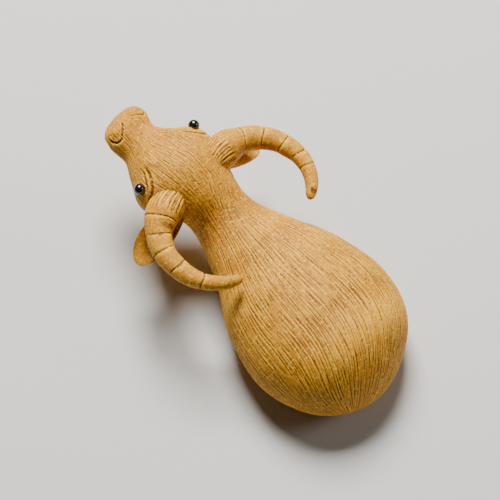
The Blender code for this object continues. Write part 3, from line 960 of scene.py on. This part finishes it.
class Value:
    """A number, colour or vector that comes out of a shader node."""

    def __init__(self, tree: bpy.types.NodeTree, socket: bpy.types.NodeSocket) -> None:
        self.tree = tree
        self.socket = socket

    def math(self, operation: str, *others: Value | float) -> Value:
        """Combines this value with others in a Math node."""
        node = self.tree.nodes.new("ShaderNodeMath")
        node.operation = operation
        for place, item in zip(node.inputs, (self, *others)):
            plug(self.tree, place, item)
        return Value(self.tree, node.outputs[0])

    def __add__(self, other: Value | float) -> Value:
        return self.math("ADD", other)

    def __radd__(self, other: float) -> Value:
        return self.math("ADD", other)

    def __sub__(self, other: Value | float) -> Value:
        return self.math("SUBTRACT", other)

    def __rsub__(self, other: float) -> Value:
        return (self * -1.0).math("ADD", other)

    def __mul__(self, other: Value | float) -> Value:
        return self.math("MULTIPLY", other)

    def __rmul__(self, other: float) -> Value:
        return self.math("MULTIPLY", other)

    def ramp(self, low: float, high: float) -> Value:
        """Rises smoothly from 0 at low to 1 at high."""
        node = self.tree.nodes.new("ShaderNodeMapRange")
        node.interpolation_type = "SMOOTHSTEP"
        plug(self.tree, node.inputs["Value"], self)
        node.inputs["From Min"].default_value = low
        node.inputs["From Max"].default_value = high
        return Value(self.tree, node.outputs["Result"])


def plug(tree: bpy.types.NodeTree, place: bpy.types.NodeSocket, item: Value | float | tuple) -> None:
    """Links a value to a socket, or sets a constant on it."""
    if isinstance(item, Value):
        tree.links.new(item.socket, place)
    else:
        place.default_value = item


@dataclass
class Shade:
    """One material under construction."""

    name: str
    material: bpy.types.Material = field(init=False)

    def __post_init__(self) -> None:
        self.material = bpy.data.materials.new(self.name)
        self.material.use_nodes = True

    @property
    def tree(self) -> bpy.types.NodeTree:
        """The material's nodes."""
        return self.material.node_tree

    @property
    def surface(self) -> bpy.types.Node:
        """The material's main shader."""
        return self.tree.nodes["Principled BSDF"]

    def node(
        self, kind: str, output: str, settings: dict | None = None, **sockets: Value | float | tuple
    ) -> Value:
        """Adds a node.

        Args:
            kind: The node's type.
            output: The name of the output to give back.
            settings: Properties of the node, by name.
            sockets: Values for its inputs, with a low line for each space in a name.

        Returns:
            The output.
        """
        made = self.tree.nodes.new(kind)
        for key, value in (settings or {}).items():
            setattr(made, key, value)
        for key, item in sockets.items():
            plug(self.tree, made.inputs[key.replace("_", " ")], item)
        return Value(self.tree, made.outputs[output])

    def noise(self, place: Value, scale: float, detail: float, roughness: float) -> Value:
        """Gives cloudy values between about 0.2 and 0.8 that vary with the place."""
        sockets = {"Vector": place, "Scale": scale, "Detail": detail, "Roughness": roughness}
        return self.node("ShaderNodeTexNoise", "Fac", **sockets)

    def mix(self, share: Value | float, first: Value | tuple, second: Value | tuple) -> Value:
        """Mixes two colours."""
        made = self.tree.nodes.new("ShaderNodeMix")
        made.data_type = "RGBA"
        plug(self.tree, made.inputs[0], share)
        plug(self.tree, made.inputs[6], first)
        plug(self.tree, made.inputs[7], second)
        return Value(self.tree, made.outputs[2])

    def set(self, **sockets: Value | float | tuple) -> None:
        """Sets sockets of the main shader."""
        for key, item in sockets.items():
            plug(self.tree, self.surface.inputs[key.replace("_", " ")], item)


@dataclass(frozen=True)
class ClayFinish:
    """Matt ochre clay, with painted shade darkening its grooves and creases and a painted highlight
    lightening its ridges.
    """

    # Painted highlight for ridges; the same colour also gives the grain's pale streaks
    ridge: tuple = (0.90, 0.475, 0.035, 1.0)
    plain: tuple = (0.56, 0.242, 0.008, 1.0)
    warm: tuple = (0.43, 0.166, 0.004, 1.0)
    # Painted shade for grooves and creases; the same colour also gives the clay's dark specks
    groove: tuple = (0.12, 0.034, 0.001, 1.0)
    fleck: tuple = (0.95, 0.62, 0.10, 1.0)
    roughness: float = 0.55

    def build(self) -> bpy.types.Material:
        """Makes the material."""
        shade = Shade("ochre_clay")
        place = shade.node("ShaderNodeTexCoord", "Object")
        hollow = shade.node("ShaderNodeAttribute", "Fac", {"attribute_name": "hollow"})
        lay = shade.node("ShaderNodeAttribute", "Vector", {"attribute_name": "grain"})
        cloud = shade.noise(place, 130.0, 4.0, 0.55)
        grain = shade.noise(place, 1900.0, 3.0, 0.6)
        specks = shade.noise(place, 1500.0, 1.0, 0.4)
        streak = shade.noise(lay, 2300.0, 3.0, 0.6)
        color = shade.mix(cloud.ramp(0.36, 0.66) * 0.50, self.plain, self.warm)
        color = shade.mix(streak.ramp(0.54, 0.64) * 0.28, color, self.warm)
        color = shade.mix(streak.ramp(0.46, 0.32) * 0.30, color, self.ridge)
        # Painted highlight: lightens the surface where it bulges out, such as ridges and brows
        color = shade.mix(hollow.ramp(-0.05, -0.60) * 0.60, color, self.ridge)
        # Painted shade: darkens the surface by how deep it lies in a hollow, such as grooves and creases
        color = shade.mix(hollow.ramp(0.04, 0.58) * 0.92, color, self.groove)
        color = shade.mix(specks.ramp(0.62, 0.72) * 0.55, color, self.fleck)
        color = shade.mix(specks.ramp(0.36, 0.27) * 0.60, color, self.groove)
        color = shade.mix(grain.ramp(0.54, 0.68) * 0.40, color, self.fleck)
        color = shade.mix(grain.ramp(0.46, 0.32) * 0.42, color, self.warm)
        height = grain * 1.5 + streak * 0.9 + cloud * 0.4
        bump = shade.node("ShaderNodeBump", "Normal", Height=height, Distance=0.00012, Strength=0.85)
        shade.set(Base_Color=color, Roughness=self.roughness + grain * 0.12, Normal=bump)
        shade.set(Specular_IOR_Level=0.22)
        return shade.material


@dataclass(frozen=True)
class BeadFinish:
    """Polished black."""

    color: tuple = (0.006, 0.006, 0.008, 1.0)
    roughness: float = 0.06

    def build(self) -> bpy.types.Material:
        """Makes the material."""
        shade = Shade("black_bead")
        shade.set(Base_Color=self.color, Roughness=self.roughness, Coat_Weight=0.6)
        return shade.material


@dataclass(frozen=True)
class FloorFinish:
    """Plain pale floor."""

    color: tuple = (0.62, 0.62, 0.62, 1.0)
    roughness: float = 0.85

    def build(self) -> bpy.types.Material:
        """Makes the material."""
        shade = Shade("pale_floor")
        shade.set(Base_Color=self.color, Roughness=self.roughness)
        return shade.material


@dataclass(frozen=True)
class Lamp:
    """A square lamp, with the way to it from the object: right, up and back in the view."""

    name: str
    toward: tuple[float, float, float]
    size: float
    power: float


KEY = Lamp("key", (-0.08, 0.88, 0.46), 0.40, 22.5)
FILL = Lamp("fill", (0.86, 0.28, 0.42), 0.30, 1.8)


@dataclass
class Studio:
    """The floor, the lights and the camera."""

    azimuth: float = math.radians(136.0)
    elevation: float = math.radians(62.0)
    target: tuple = (BELLY_SIDE - 2.23 * MM, BELLY_BACK - 29.51 * MM, 10.0 * MM)
    distance: float = 1.0
    pixels_per_metre: float = 4000.0
    lamp_distance: float = 0.9
    lamp_color: tuple = (1.0, 0.965, 0.90)
    world_strength: float = 0.040

    def axes(self) -> tuple[Vector, Vector, Vector]:
        """Gives the view's directions to the right, upwards and towards the camera."""
        a, e = self.azimuth, self.elevation
        right = Vector((math.cos(a), math.sin(a), 0.0))
        up = Vector((-math.sin(a) * math.sin(e), math.cos(a) * math.sin(e), math.cos(e)))
        back = Vector((math.sin(a) * math.cos(e), -math.cos(a) * math.cos(e), math.sin(e)))
        return right, up, back

    def floor(self) -> None:
        """Lays the floor."""
        shape = bmesh.new()
        bmesh.ops.create_grid(shape, x_segments=1, y_segments=1, size=FLOOR_SIZE)
        made = add_mesh("floor", shape)
        made.data.materials.append(FloorFinish().build())
        made.location.z = -FLOOR_GAP

    def light(self, lamp: Lamp) -> None:
        """Hangs one lamp."""
        right, up, back = self.axes()
        toward = lamp.toward
        away = (right * toward[0] + up * toward[1] + back * toward[2]).normalized()
        data = bpy.data.lights.new(lamp.name, "AREA")
        data.shape = "SQUARE"
        data.size = lamp.size
        data.energy = lamp.power
        data.color = self.lamp_color
        made = bpy.data.objects.new(lamp.name, data)
        made.location = Vector(self.target) + away * self.lamp_distance
        made.rotation_euler = away.to_track_quat("Z", "Y").to_euler()
        bpy.context.scene.collection.objects.link(made)

    def camera(self) -> None:
        """Places the camera at the photo's angle."""
        back = self.axes()[2]
        data = bpy.data.cameras.new("camera")
        data.sensor_width = SENSOR_WIDTH
        data.lens = SENSOR_WIDTH * self.distance * self.pixels_per_metre / PICTURE_PIXELS
        data.clip_start = 0.05
        data.clip_end = 20.0
        made = bpy.data.objects.new("camera", data)
        made.location = Vector(self.target) + back * self.distance
        made.rotation_euler = back.to_track_quat("Z", "Y").to_euler()
        bpy.context.scene.collection.objects.link(made)
        bpy.context.scene.camera = made

    def world(self) -> None:
        """Fills the shadows with an even light."""
        world = bpy.data.worlds.new("studio")
        world.use_nodes = True
        ground = world.node_tree.nodes["Background"]
        ground.inputs["Color"].default_value = (1.0, 0.985, 0.96, 1.0)
        ground.inputs["Strength"].default_value = self.world_strength
        bpy.context.scene.world = world

    def build(self) -> None:
        """Sets everything up."""
        self.floor()
        self.light(KEY)
        self.light(FILL)
        self.world()
        self.camera()


def main() -> None:
    """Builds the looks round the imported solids."""
    logging.basicConfig(level=logging.INFO)
    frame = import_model()
    LOG.info("the frame has %d nodes", len(frame["nodes"]))
    pet = TeaPet()
    clay = pet.clay()
    clay.data.materials.append(ClayFinish().build())
    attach(clay, "root")
    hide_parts("clay_body")
    bead_material = BeadFinish().build()
    for name in ("eye_left", "eye_right"):
        bead = pet.bead(name)
        bead.data.materials.append(bead_material)
        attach(bead, "root")
        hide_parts(name)
    Studio().build()
    LOG.info("clay has %d triangles", len(clay.data.polygons))


if __name__ == "__main__":
    main()
